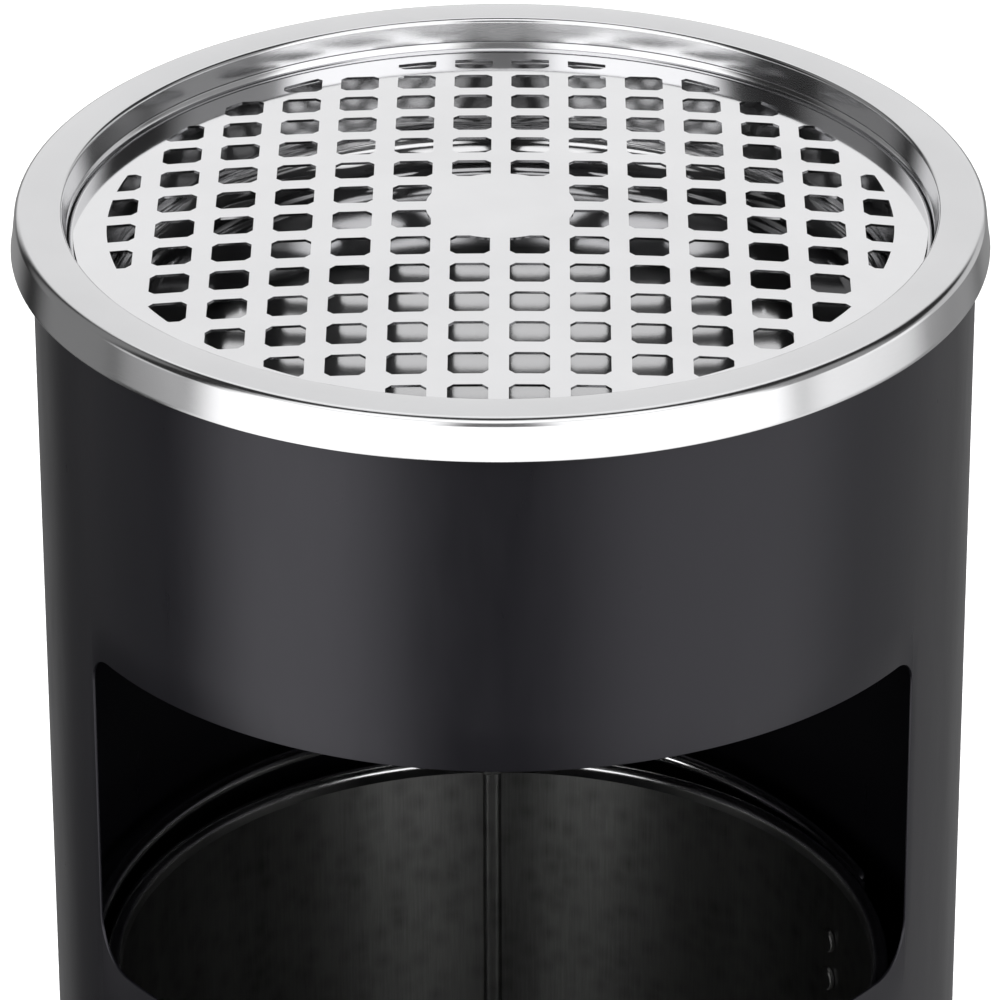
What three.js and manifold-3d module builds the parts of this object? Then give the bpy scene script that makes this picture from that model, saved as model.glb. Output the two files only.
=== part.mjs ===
// Free-standing ashtray bin: a painted steel tube with one wide window, a polished ash tray with a
// lift-out grid hung in its top, and a galvanised bucket with a wire bail standing inside.
// Millimetres, +Z up, origin on the floor at the centre of the base; the window faces -Y.
import * as THREE from "three";
import { mergeVertices } from "three/addons/utils/BufferGeometryUtils.js";
import Module from "manifold-3d";

const wasm = await Module();
wasm.setup();

// Driving dimensions
const TOTAL_HEIGHT = 610;
const GAP = 0.3; // between pieces that touch
const ROUND_STEPS = 48; // facets round every large turned piece

const SHELL_RADIUS = 120;
const SHELL_SHEET = 0.8;
const WINDOW_BOTTOM = 420.5;
const WINDOW_TOP = 511;
const WINDOW_HALF_ARC = 125.4; // measured along the outside of the shell
const WINDOW_TOP_CORNER = 8;
const WINDOW_BOTTOM_CORNER = 13;

const BASE_RING_HEIGHT = 12;
const BASE_RING_FLOOR = 4;
const BASE_RING_OUTER = 122;
const BASE_RING_INNER = 117;
const BASE_RING_EDGE = 1.5; // the sloped edge round its top
const BASE_PLATE_SHEET = 1;
const BASE_PLATE_FLANGE = 8;

const TRAY_SHEET = 1;
const TRAY_BORE = 111.2; // radius of the bore inside the rim
const TRAY_LEDGE_OUTER = 109.9;
const TRAY_LEDGE_INNER = 104.5;
const TRAY_LEDGE_DROP = 9.05; // from the rim's top to the ledge that carries the grid
const TRAY_BOWL_DEPTH = 38; // from the rim's top to the floor of the bowl
const TRAY_BOWL_CORNER = 12;
const TRAY_BORE_ROUND = 2;
const TRAY_SHOULDER = 120.4; // the flat rim ends here and rounds down into the skirt
const TRAY_SHOULDER_ROUND = 3.2;
const TRAY_HEM = 124.5;
const TRAY_SKIRT = 11.3; // height of the skirt that hangs over the shell
const TRAY_SHIFT = -1; // the loose tray sits this far off centre, along X

const GRID_RADIUS = 108.5;
const GRID_SHEET = 1;
const GRID_DROP = 2.2; // from the rim's top to the crown of the grid
const GRID_CURVE = 0.000465; // fall of the dome = this times the radius squared
const GRID_STEPS = 24; // facets round the grid, which its holes cut up further
const GRID_TURN = THREE.MathUtils.degToRad(0.44); // the loose grid lies slightly turned
const HOLE_PITCH = 15;
const HOLE_SIZE = 10;
const HOLE_CHAMFER = 2;
const HOLE_ROWS = 7; // on each side of the centre
const HOLES_OUTER = 100; // the pattern is cut off outside this radius
const HOLES_INNER = 19; // and inside this one, which leaves the plain centre

const BUCKET_SHEET = 0.7;
const BUCKET_RIM_TOP = 387.2;
const BUCKET_BEAD_CENTRE = 102.8; // radius of the rolled rim's middle
const BUCKET_BEAD = 2.2; // radius of the roll itself
const BUCKET_WIRE = 1.1; // radius of the wire inside the roll
const BUCKET_FLOOR_RAISE = 8;
const BUCKET_SHIFT = -2.5; // the loose bucket stands this far off centre, along X

const BAIL_TURN = THREE.MathUtils.degToRad(25); // the ears' axis, turned round the bucket
const BAIL_WIRE = 2; // radius of the handle's wire
const BAIL_HALF_SPAN = 109.6; // from the middle to the wire, along the pivot axis
const BAIL_REACH = 106.5; // from the pivot axis to the middle of the hoop
const BAIL_PIVOT_HEIGHT = 381;
const BAIL_TILT = THREE.MathUtils.degToRad(7.5); // the folded hoop rises this much to the back
const BAIL_HOOK_END = 104;
const BAIL_BEND = 2; // radius of the bend between hook and hoop
const BAIL_HOOK_SHARE = 0.07; // of the wire's steps, for each hook
const BAIL_STEPS = 56;

const EAR_WIDTH = 16;
const EAR_SHEET = 1.2;
const EAR_BOTTOM = 347;
const EAR_TOP = 385.2;
const EAR_JOG_START = 369;
const EAR_JOG_END = 374;
const EAR_OUTSIDE = 106.8; // radius of the raised part's outer face
const EAR_HOLE = 2.35;
const RIVET_HEIGHTS = [352, 364];
const RIVET_SHANK = 1.7;
const RIVET_HEAD = 3.4;
const RIVET_HEAD_HEIGHT = 1.2;

// Derived levels
const basePlateTop = BASE_RING_HEIGHT + GAP + BASE_PLATE_FLANGE;
const bucketBottom = basePlateTop + GAP;
const bucketInner = BUCKET_BEAD_CENTRE - BUCKET_BEAD;
const bucketOuter = bucketInner + BUCKET_SHEET;
const beadHeight = BUCKET_RIM_TOP - BUCKET_BEAD;
const gridCrown = TOTAL_HEIGHT - GRID_DROP;
const shellTop = TOTAL_HEIGHT - TRAY_SHEET - GAP;

const finish = (color, roughness, metalness) =>
  new THREE.MeshStandardMaterial({ color, roughness, metalness });
const FINISHES = {
  paint: () => finish(0x1c1d21, 0.42, 0.1),
  polished: () => finish(0xd9dbdc, 0.12, 1),
  galvanised: () => finish(0x8b8f92, 0.42, 1),
  zincWire: () => finish(0xa9adb0, 0.3, 1),
  plastic: () => finish(0x121214, 0.6, 0),
};

// ---- helpers -------------------------------------------------------------------------------

// A closed three.js geometry as a solid that can be cut and joined.
function toSolid(geometry) {
  const bare = geometry.clone();
  bare.deleteAttribute("normal");
  bare.deleteAttribute("uv");
  const merged = mergeVertices(bare, 1e-3);
  return new wasm.Manifold(
    new wasm.Mesh({
      numProp: 3,
      vertProperties: merged.attributes.position.array,
      triVerts: new Uint32Array(merged.index.array),
    }),
  );
}

function toGeometry(solid) {
  const mesh = solid.getMesh();
  const geometry = new THREE.BufferGeometry();
  geometry.setAttribute("position", new THREE.BufferAttribute(mesh.vertProperties, 3));
  geometry.setIndex(new THREE.BufferAttribute(mesh.triVerts, 1));
  geometry.computeVertexNormals();
  return geometry;
}

// Turns a profile of [radius, height] pairs round the Z axis.
function turned(profile, steps = ROUND_STEPS) {
  const points = profile.map(([radius, height]) => new THREE.Vector2(radius, height));
  return new THREE.LatheGeometry(points, steps).rotateX(Math.PI / 2);
}

// Turns an outline that doesn't touch the axis, closing it on itself.
function turnedRing(outline, steps = ROUND_STEPS) {
  return turned([...outline, outline[0]], steps);
}

// Points of a round corner in the profile plane, angles in degrees.
function arc(centreRadius, centreHeight, radius, fromDegrees, toDegrees, steps) {
  return Array.from({ length: steps + 1 }, (_, i) => {
    const angle = THREE.MathUtils.degToRad(fromDegrees + ((toDegrees - fromDegrees) * i) / steps);
    return [centreRadius + radius * Math.cos(angle), centreHeight + radius * Math.sin(angle)];
  });
}

// A short round bar along X, used for rivets' holes and for the bail's eye.
function barAlongX(radius, from, to, height, steps = 12) {
  return new THREE.CylinderGeometry(radius, radius, to - from, steps)
    .rotateZ(Math.PI / 2)
    .translate((from + to) / 2, 0, height);
}

function named(name, geometry, material) {
  const mesh = new THREE.Mesh(geometry, material);
  mesh.name = name;
  return mesh;
}

// ---- outer body ----------------------------------------------------------------------------

// The window's outline on the unrolled sheet: arc length across, height up.
function windowOutline() {
  const side = WINDOW_HALF_ARC;
  const low = WINDOW_BOTTOM_CORNER;
  const high = WINDOW_TOP_CORNER;
  return [
    ...arc(side - low, WINDOW_BOTTOM + low, low, -90, 0, 5),
    ...arc(side - high, WINDOW_TOP - high, high, 0, 90, 3),
    ...arc(-side + high, WINDOW_TOP - high, high, 90, 180, 3),
    ...arc(-side + low, WINDOW_BOTTOM + low, low, 180, 270, 5),
  ];
}

// The outline wrapped back onto the cylinder and driven straight through its front wall.
function windowCutter() {
  const wrapped = windowOutline().map(
    ([along, height]) =>
      new THREE.Vector2(SHELL_RADIUS * Math.sin(along / SHELL_RADIUS), height),
  );
  return new THREE.ExtrudeGeometry(new THREE.Shape(wrapped), {
    depth: SHELL_RADIUS,
    bevelEnabled: false,
  }).rotateX(Math.PI / 2);
}

function outerShell() {
  const inner = SHELL_RADIUS - SHELL_SHEET;
  const bottom = BASE_RING_FLOOR + GAP;
  const tube = turnedRing([
    [inner, bottom],
    [SHELL_RADIUS, bottom],
    [SHELL_RADIUS, shellTop],
    [inner, shellTop],
  ]);
  const cut = toSolid(tube).subtract(toSolid(windowCutter()));
  return named("outer_shell", toGeometry(cut), FINISHES.paint());
}

// Plastic edge protector: a ring with a groove that takes the shell's bottom edge.
function baseRing() {
  const grooveOuter = SHELL_RADIUS + GAP;
  const grooveInner = SHELL_RADIUS - SHELL_SHEET - GAP;
  const ring = turnedRing([
    [BASE_RING_INNER, 0],
    [BASE_RING_OUTER, 0],
    [BASE_RING_OUTER, BASE_RING_HEIGHT - BASE_RING_EDGE],
    [grooveOuter + GAP, BASE_RING_HEIGHT],
    [grooveOuter, BASE_RING_HEIGHT],
    [grooveOuter, BASE_RING_FLOOR],
    [grooveInner, BASE_RING_FLOOR],
    [grooveInner, BASE_RING_HEIGHT],
    [BASE_RING_INNER, BASE_RING_HEIGHT],
  ]);
  return named("base_ring", ring, FINISHES.plastic());
}

// Pressed pan whose flange turns down and is spot-welded inside the shell; the bucket stands on it.
function basePlate() {
  const rim = SHELL_RADIUS - SHELL_SHEET - GAP;
  const under = basePlateTop - BASE_PLATE_SHEET;
  const pan = turned([
    [0, under],
    [rim - BASE_PLATE_SHEET, under],
    [rim - BASE_PLATE_SHEET, BASE_RING_HEIGHT + GAP],
    [rim, BASE_RING_HEIGHT + GAP],
    [rim, basePlateTop],
    [0, basePlateTop],
  ]);
  return named("base_plate", pan, FINISHES.paint());
}

// ---- ash tray and grid ---------------------------------------------------------------------

// One spun sheet: bowl, ledge for the grid, bore, flat rim, and a flared skirt with a hem.
function ashTray() {
  const rim = TOTAL_HEIGHT;
  const under = rim - TRAY_SHEET;
  const ledge = rim - TRAY_LEDGE_DROP;
  const floor = rim - TRAY_BOWL_DEPTH;
  const hem = rim - TRAY_SKIRT;
  const corner = TRAY_BOWL_CORNER;
  const flatEnd = TRAY_LEDGE_INNER - corner;
  const shoulder = TRAY_SHOULDER_ROUND;
  const bore = TRAY_BORE_ROUND;
  const skirtTop = TRAY_SHOULDER + shoulder;
  const tray = turned([
    [0, floor - TRAY_SHEET],
    ...arc(flatEnd, floor + corner, corner + TRAY_SHEET, -90, 0, 3),
    [TRAY_LEDGE_INNER + TRAY_SHEET, ledge - TRAY_SHEET],
    [TRAY_LEDGE_OUTER + TRAY_SHEET, ledge - TRAY_SHEET],
    [TRAY_BORE + TRAY_SHEET, under],
    [TRAY_SHOULDER + TRAY_SHEET, under],
    [skirtTop - TRAY_SHEET, rim - shoulder],
    [TRAY_HEM - 2 * TRAY_SHEET, hem],
    [TRAY_HEM, hem],
    [TRAY_HEM, hem + TRAY_SHEET],
    [TRAY_HEM - TRAY_SHEET, hem + 2 * TRAY_SHEET],
    ...arc(TRAY_SHOULDER, rim - shoulder, shoulder, 0, 90, 3),
    ...arc(TRAY_BORE + bore, rim - bore, bore, 90, 180, 3),
    [TRAY_LEDGE_OUTER, ledge],
    [TRAY_LEDGE_INNER, ledge],
    ...arc(flatEnd, floor + corner, corner, 0, -90, 3),
    [0, floor],
  ]);
  return named("ash_tray", tray, FINISHES.polished());
}

const domeHeight = (radius) => gridCrown - GRID_CURVE * radius * radius;

function squareHole(x, y) {
  const half = HOLE_SIZE / 2;
  const flat = half - HOLE_CHAMFER;
  const corners = [
    [half, -flat],
    [half, flat],
    [flat, half],
    [-flat, half],
    [-half, flat],
    [-half, -flat],
    [-flat, -half],
    [flat, -half],
  ].map(([dx, dy]) => new THREE.Vector2(x + dx, y + dy));
  const depth = 20 * GRID_SHEET;
  return new THREE.ExtrudeGeometry(new THREE.Shape(corners), {
    depth,
    bevelEnabled: false,
  }).translate(0, 0, gridCrown - depth / 2);
}

// Every hole of the square pattern, trimmed to the ring between the plain centre and the edge.
function gridHoles() {
  const furthest = HOLES_OUTER + HOLE_CHAMFER;
  const holes = [];
  for (let row = -HOLE_ROWS; row < HOLE_ROWS; row++) {
    for (let column = -HOLE_ROWS; column < HOLE_ROWS; column++) {
      const x = (column + 0.5) * HOLE_PITCH;
      const y = (row + 0.5) * HOLE_PITCH;
      const distance = Math.hypot(x, y);
      if (distance < furthest && distance > HOLES_INNER) {
        holes.push(toSolid(squareHole(x, y)));
      }
    }
  }
  const reach = 12 * GRID_SHEET;
  const field = turnedRing([
    [HOLES_INNER, gridCrown - reach],
    [HOLES_OUTER, gridCrown - reach],
    [HOLES_OUTER, gridCrown + reach],
    [HOLES_INNER, gridCrown + reach],
  ]);
  return wasm.Manifold.union(holes).intersect(toSolid(field));
}

// Domed perforated plate that lies on the tray's ledge.
function ashGrid() {
  const rings = 2;
  const radii = Array.from({ length: rings }, (_, i) => (GRID_RADIUS * (i + 1)) / rings);
  const top = radii.map((radius) => [radius, domeHeight(radius)]);
  const bottom = top.map(([radius, height]) => [radius, height - GRID_SHEET]);
  const profile = [[0, gridCrown - GRID_SHEET], ...bottom, ...top.reverse(), [0, gridCrown]];
  const plate = turned(profile, GRID_STEPS);
  const cut = toSolid(plate).subtract(gridHoles());
  const mesh = named("ash_grid", toGeometry(cut), FINISHES.polished());
  mesh.rotation.z = GRID_TURN;
  return mesh;
}

// ---- bucket --------------------------------------------------------------------------------

// Cylinder of sheet whose top edge rolls outwards round a wire; drilled for the rivets.
function bucketWall() {
  const outside = BUCKET_BEAD;
  const inside = BUCKET_BEAD - BUCKET_SHEET;
  const rollEnd = -150; // where the roll stops, in degrees
  const sheet = turnedRing([
    [bucketInner, bucketBottom],
    [bucketOuter, bucketBottom],
    ...arc(BUCKET_BEAD_CENTRE, beadHeight, inside, 180, rollEnd, 7),
    ...arc(BUCKET_BEAD_CENTRE, beadHeight, outside, rollEnd + 30, 180, 6),
  ]);
  const drills = rivetPlaces().map(({ height, turn }) =>
    toSolid(
      barAlongX(RIVET_SHANK + GAP, bucketInner - 3, bucketOuter + 1, height).rotateZ(turn),
    ),
  );
  const drilled = drills.reduce((wall, drill) => wall.subtract(drill), toSolid(sheet));
  return named("bucket_wall", toGeometry(drilled), FINISHES.galvanised());
}

function bucketRimWire() {
  const wire = new THREE.TorusGeometry(BUCKET_BEAD_CENTRE, BUCKET_WIRE, 6, ROUND_STEPS);
  const mesh = named("bucket_rim_wire", wire, FINISHES.zincWire());
  mesh.position.z = beadHeight;
  return mesh;
}

// Pressed floor with a flange that turns down inside the wall.
function bucketFloor() {
  const rim = bucketInner - GAP;
  const top = bucketBottom + BUCKET_FLOOR_RAISE;
  const floor = turned([
    [0, top - BUCKET_SHEET],
    [rim - BUCKET_SHEET, top - BUCKET_SHEET],
    [rim - BUCKET_SHEET, bucketBottom + GAP],
    [rim, bucketBottom + GAP],
    [rim, top],
    [0, top],
  ]);
  return named("bucket_floor", floor, FINISHES.galvanised());
}

// ---- bail and its ears ---------------------------------------------------------------------

const SIDES = [
  { side: "right", turn: 0 },
  { side: "left", turn: Math.PI },
];

const rivetPlaces = () =>
  SIDES.flatMap(({ side, turn }) =>
    RIVET_HEIGHTS.map((height, i) => ({ side, turn, height, number: i + 1 })),
  );

// A pressed lug: a flat pad riveted to the wall, stepped out past the rolled rim, with an eye.
function bailEar({ side, turn }) {
  const padIn = bucketOuter + GAP;
  const eyeIn = EAR_OUTSIDE - EAR_SHEET;
  const outline = [
    [padIn, EAR_BOTTOM],
    [padIn + EAR_SHEET, EAR_BOTTOM],
    [padIn + EAR_SHEET, EAR_JOG_START],
    [EAR_OUTSIDE, EAR_JOG_END],
    [EAR_OUTSIDE, EAR_TOP],
    [eyeIn, EAR_TOP],
    [eyeIn, EAR_JOG_END],
    [padIn, EAR_JOG_START],
  ].map(([x, z]) => new THREE.Vector2(x, z));
  const strip = new THREE.ExtrudeGeometry(new THREE.Shape(outline), {
    depth: EAR_WIDTH,
    bevelEnabled: false,
  })
    .rotateX(Math.PI / 2)
    .translate(0, EAR_WIDTH / 2, 0);
  const eye = barAlongX(EAR_HOLE, eyeIn - 1, EAR_OUTSIDE + 1, BAIL_PIVOT_HEIGHT);
  const cut = RIVET_HEIGHTS.reduce(
    (lug, height) =>
      lug.subtract(toSolid(barAlongX(RIVET_SHANK + GAP, padIn - 1, padIn + 3, height))),
    toSolid(strip).subtract(toSolid(eye)),
  );
  const mesh = named(`bail_ear_${side}`, toGeometry(cut), FINISHES.zincWire());
  mesh.rotation.z = turn;
  return mesh;
}

// A solid rivet, made along Z and laid along X: domed head outside, flat head inside.
function rivet({ side, turn, height, number }) {
  const headIn = bucketInner - GAP - RIVET_HEAD_HEIGHT;
  const headOut = bucketOuter + EAR_SHEET + 2 * GAP;
  const body = turned(
    [
      [0, headIn],
      [RIVET_HEAD, headIn],
      [RIVET_HEAD, headIn + RIVET_HEAD_HEIGHT],
      [RIVET_SHANK, headIn + RIVET_HEAD_HEIGHT],
      [RIVET_SHANK, headOut],
      [RIVET_HEAD, headOut],
      [RIVET_HEAD * 0.7, headOut + RIVET_HEAD_HEIGHT * 0.8],
      [0, headOut + RIVET_HEAD_HEIGHT],
    ],
    12,
  );
  body.rotateY(Math.PI / 2);
  const mesh = named(`bail_rivet_${side}_${number}`, body, FINISHES.zincWire());
  mesh.position.z = height;
  mesh.rotation.z = turn;
  return mesh;
}

// The bail's centre line in its own plane: X along the pivot axis, Y out to the hoop.
class BailLine extends THREE.Curve {
  constructor() {
    super();
    const start = BAIL_HALF_SPAN - BAIL_BEND;
    this.path = new THREE.CurvePath();
    this.path.add(new THREE.LineCurve3(this.at(BAIL_HOOK_END, 0), this.at(start, 0)));
    this.path.add(
      new THREE.QuadraticBezierCurve3(
        this.at(start, 0),
        this.at(BAIL_HALF_SPAN, 0),
        this.at(BAIL_HALF_SPAN, BAIL_BEND),
      ),
    );
    this.hoopStart = Math.asin(BAIL_BEND / BAIL_REACH);
  }
  at(x, y) {
    return new THREE.Vector3(x, y, 0);
  }
  // The first and last parts are the hooks; the middle is the hoop.
  getPoint(t) {
    const hook = BAIL_HOOK_SHARE;
    if (t < hook) return this.path.getPointAt(t / hook);
    if (t > 1 - hook) {
      const point = this.path.getPointAt((1 - t) / hook);
      return this.at(-point.x, point.y);
    }
    const share = (t - hook) / (1 - 2 * hook);
    const angle = this.hoopStart + share * (Math.PI - 2 * this.hoopStart);
    return this.at(BAIL_HALF_SPAN * Math.cos(angle), BAIL_REACH * Math.sin(angle));
  }
  // Steps follow the parameter, so that the hooks keep their own share of them.
  getPointAt(t) {
    return this.getPoint(t);
  }
  getTangentAt(t) {
    return this.getTangent(t);
  }
}

function bailHandle() {
  const section = new THREE.Shape().absarc(0, 0, BAIL_WIRE, 0, 2 * Math.PI);
  const wire = new THREE.ExtrudeGeometry(new THREE.Shape(section.getPoints(4).slice(0, -1)), {
    extrudePath: new BailLine(),
    steps: BAIL_STEPS,
    bevelEnabled: false,
  });
  const mesh = named("bail_handle", wire, FINISHES.zincWire());
  mesh.position.z = BAIL_PIVOT_HEIGHT;
  mesh.rotation.x = BAIL_TILT;
  return mesh;
}

// ---- assembly ------------------------------------------------------------------------------

function bucketHardware() {
  const turnedGroup = new THREE.Group();
  turnedGroup.rotation.z = BAIL_TURN;
  turnedGroup.position.x = BUCKET_SHIFT;
  turnedGroup.add(bucketWall(), bucketRimWire(), bucketFloor(), bailHandle());
  SIDES.forEach((side) => turnedGroup.add(bailEar(side)));
  rivetPlaces().forEach((place) => turnedGroup.add(rivet(place)));
  return turnedGroup;
}

function trayAndGrid() {
  const lid = new THREE.Group();
  lid.position.x = TRAY_SHIFT;
  lid.add(ashTray(), ashGrid());
  return lid;
}

const ashtrayBin = new THREE.Group();
ashtrayBin.name = "ashtray_bin";
ashtrayBin.add(outerShell(), baseRing(), basePlate(), bucketHardware(), trayAndGrid());

export default ashtrayBin;
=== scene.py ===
# Ashtray bin: painted steel shell with a wide window, polished ash tray and grid, and a
# galvanised bucket.
# Metres, +Z up, the origin on the floor under the middle of the bin, the window facing -Y.
import math

import bmesh
import bpy
from mathutils import Matrix, Quaternion, Vector
from mathutils.geometry import delaunay_2d_cdt


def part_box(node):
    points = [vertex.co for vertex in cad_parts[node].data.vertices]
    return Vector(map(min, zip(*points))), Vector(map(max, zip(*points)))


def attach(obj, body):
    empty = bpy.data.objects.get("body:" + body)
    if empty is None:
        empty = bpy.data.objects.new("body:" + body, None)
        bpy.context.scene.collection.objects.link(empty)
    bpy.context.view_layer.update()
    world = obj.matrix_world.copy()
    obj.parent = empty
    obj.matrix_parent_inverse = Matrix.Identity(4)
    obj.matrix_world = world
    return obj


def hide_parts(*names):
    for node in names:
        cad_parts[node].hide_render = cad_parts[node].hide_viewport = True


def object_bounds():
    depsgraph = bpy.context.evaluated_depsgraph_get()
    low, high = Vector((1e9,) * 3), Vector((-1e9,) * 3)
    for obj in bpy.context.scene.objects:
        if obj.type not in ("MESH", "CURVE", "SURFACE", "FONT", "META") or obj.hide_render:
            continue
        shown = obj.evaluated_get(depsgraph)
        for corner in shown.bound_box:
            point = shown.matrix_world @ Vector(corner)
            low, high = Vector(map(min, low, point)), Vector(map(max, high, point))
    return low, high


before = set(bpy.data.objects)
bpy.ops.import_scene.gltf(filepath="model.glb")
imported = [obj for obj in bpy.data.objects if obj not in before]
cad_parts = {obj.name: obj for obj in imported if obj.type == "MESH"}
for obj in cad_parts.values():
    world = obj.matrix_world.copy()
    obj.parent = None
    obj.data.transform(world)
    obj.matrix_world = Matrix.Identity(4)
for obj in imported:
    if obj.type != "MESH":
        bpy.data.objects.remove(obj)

CAD_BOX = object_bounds()
MM = 0.001
SMOOTH_SIDES = 256  # round every large turned piece
TOTAL_HEIGHT = CAD_BOX[1].z


def middle_of(node):
    """Where a round CAD piece has its axis: the middle of its box, on the floor."""
    low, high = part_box(node)
    return Vector(((low.x + high.x) / 2, 0, 0))


# Shell and window
SHELL_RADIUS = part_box("outer_shell")[1].x
SHELL_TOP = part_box("outer_shell")[1].z
SHELL_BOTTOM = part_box("outer_shell")[0].z
SHELL_SHEET = 0.8 * MM
WINDOW_BOTTOM = 420.5 * MM
WINDOW_TOP = 511 * MM
WINDOW_HALF_ANGLE = 125.4 * MM / SHELL_RADIUS
WINDOW_TOP_CORNER = 8 * MM
WINDOW_BOTTOM_CORNER = 13 * MM
SHELL_EDGE = 0.26 * MM  # rounding of the cut edges

# Base
RING_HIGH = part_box("base_ring")[1]
RING_INNER = 117 * MM
RING_GROOVE_FLOOR = 4 * MM
RING_CHAMFER = 1.5 * MM
PLATE_LOW, PLATE_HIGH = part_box("base_plate")
PLATE_SHEET = 1 * MM
PLATE_CORNER = 2.5 * MM

# Tray
TRAY_CENTRE = middle_of("ash_tray")
TRAY_SHEET = 0.8 * MM
TRAY_BORE = 111.2 * MM
LEDGE_OUTER = 109.9 * MM
LEDGE_INNER = 104.5 * MM
LEDGE_HEIGHT = TOTAL_HEIGHT - 9.05 * MM
BOWL_FLOOR = TOTAL_HEIGHT - 38 * MM
BOWL_CORNER = 12 * MM
SHOULDER_RADIUS = 120.8 * MM
SHOULDER_ROUND = 2.6 * MM
HEM_RADIUS = 124.5 * MM
HEM_HEIGHT = TOTAL_HEIGHT - 11.3 * MM
HEM_ROUND = 0.4 * MM

# Grid
GRID_RADIUS = 108.5 * MM
GRID_SHEET = 0.7 * MM
GRID_CROWN = TOTAL_HEIGHT - 2.2 * MM
GRID_CURVE = 0.465  # fall of the dome per metre of radius squared
GRID_TURN = math.radians(0.44)
HOLE_PITCH = 15 * MM
HOLE_SIZE = 10 * MM
HOLE_CHAMFER = 1.5 * MM
HOLE_ROWS = 7
HOLES_OUTER = 100 * MM
HOLES_INNER = 19 * MM
GRID_EDGE = 0.16 * MM  # rounding of the punched edges

# Bucket and bail
BUCKET_CENTRE = middle_of("bucket_wall")
BUCKET_TURN = math.radians(25)
BUCKET_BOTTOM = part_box("bucket_wall")[0].z
BUCKET_RIM_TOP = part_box("bucket_wall")[1].z
BUCKET_SHEET = 0.7 * MM
BEAD_CENTRE = 102.8 * MM
BEAD_RADIUS = 2.2 * MM
BUCKET_INNER = BEAD_CENTRE - BEAD_RADIUS
BUCKET_OUTER = BUCKET_INNER + BUCKET_SHEET
FLOOR_RAISE = 8 * MM
BUCKET_FLOOR_CORNER = 2 * MM
SEAM_ANGLE = math.radians(91.5)  # where the bucket's sheet is joined, from +X
BAIL_PIVOT = 381 * MM
BAIL_WIRE = 2 * MM
BAIL_HALF_SPAN = 109.6 * MM
BAIL_REACH = 106.5 * MM
BAIL_TILT = math.radians(7.5)
BAIL_HOOK_END = 104 * MM
EAR_WIDTH = 16 * MM
EAR_SHEET = 1.2 * MM
EAR_BOTTOM = 347 * MM
EAR_TOP = 385.2 * MM
EAR_JOG_START = 369 * MM
EAR_JOG_END = 374 * MM
EAR_OUTSIDE = 106.8 * MM
EAR_HOLE = 2.35 * MM
RIVET_HEIGHTS = (352 * MM, 364 * MM)
RIVET_SHANK = 1.7 * MM
RIVET_HEAD = 3.4 * MM
RIVET_DOME = 1.2 * MM
GAP = 0.3 * MM

# Camera
CAMERA_LENS = 253.94
CAMERA_DISTANCE = 1.8303
CAMERA_ELEVATION = math.radians(27.91)
CAMERA_AZIMUTH = math.radians(0.79)
CAMERA_ROLL = math.radians(-0.16)
CAMERA_AIM = Vector((TRAY_CENTRE.x - 0.0003, 0, 0.5230))


# ---- mesh helpers --------------------------------------------------------------------------

def add_object(name, mesh):
    piece = bpy.data.objects.new(name, mesh)
    bpy.context.scene.collection.objects.link(piece)
    return piece


def mesh_from(name, verts, faces):
    mesh = bpy.data.meshes.new(name)
    mesh.from_pydata([tuple(v) for v in verts], [], faces)
    mesh.validate()
    mesh.update()
    return mesh


def smooth(mesh, degrees=30.0):
    """Smooth shading with a crease wherever two faces meet at more than the given angle."""
    mesh.polygons.foreach_set("use_smooth", [True] * len(mesh.polygons))
    mesh.set_sharp_from_angle(angle=math.radians(degrees))


def fix_normals(mesh):
    """Turns every face of a closed mesh outwards."""
    work = bmesh.new()
    work.from_mesh(mesh)
    bmesh.ops.recalc_face_normals(work, faces=work.faces)
    work.to_mesh(mesh)
    work.free()


def settle(piece, degrees=30.0):
    """Applies the piece's modifiers, so that its mesh is final."""
    graph = bpy.context.evaluated_depsgraph_get()
    made = bpy.data.meshes.new_from_object(piece.evaluated_get(graph))
    piece.modifiers.clear()
    piece.data = made
    smooth(made, degrees)
    return piece


def add_bevel(piece, width, segments=2, degrees=35.0):
    bevel = piece.modifiers.new("bevel", "BEVEL")
    bevel.width = width
    bevel.segments = segments
    bevel.limit_method = "ANGLE"
    bevel.angle_limit = math.radians(degrees)


def add_sheet(piece, thickness):
    """Gives a surface the thickness of its sheet, inwards from where it was drawn."""
    sheet = piece.modifiers.new("sheet", "SOLIDIFY")
    sheet.thickness = thickness
    sheet.offset = -1


def arc(cx, cz, radius, from_degrees, to_degrees, steps):
    """Points of a round corner in a profile."""
    points = []
    for i in range(steps + 1):
        angle = math.radians(from_degrees + (to_degrees - from_degrees) * i / steps)
        points.append((cx + radius * math.cos(angle), cz + radius * math.sin(angle)))
    return points


def spin(name, profile, sides=SMOOTH_SIDES, closed=True, degrees=30.0):
    """Turns a profile of (radius, height) round Z. Points on the axis become single vertices."""
    verts, rows = [], []
    for radius, height in profile:
        if radius < 1e-7:
            rows.append([len(verts)] * sides)
            verts.append((0, 0, height))
            continue
        rows.append(list(range(len(verts), len(verts) + sides)))
        for i in range(sides):
            angle = 2 * math.pi * i / sides
            verts.append((radius * math.cos(angle), radius * math.sin(angle), height))
    pairs = list(zip(rows, rows[1:] + rows[:1])) if closed else list(zip(rows, rows[1:]))
    faces = []
    for low, high in pairs:
        if low[0] == low[1] and high[0] == high[1]:
            continue
        for i in range(sides):
            j = (i + 1) % sides
            corners = [low[i], low[j], high[j], high[i]]
            face = [c for n, c in enumerate(corners) if c != corners[n - 1]]
            faces.append(face)
    mesh = mesh_from(name, verts, faces)
    smooth(mesh, degrees)
    return add_object(name, mesh)


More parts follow.
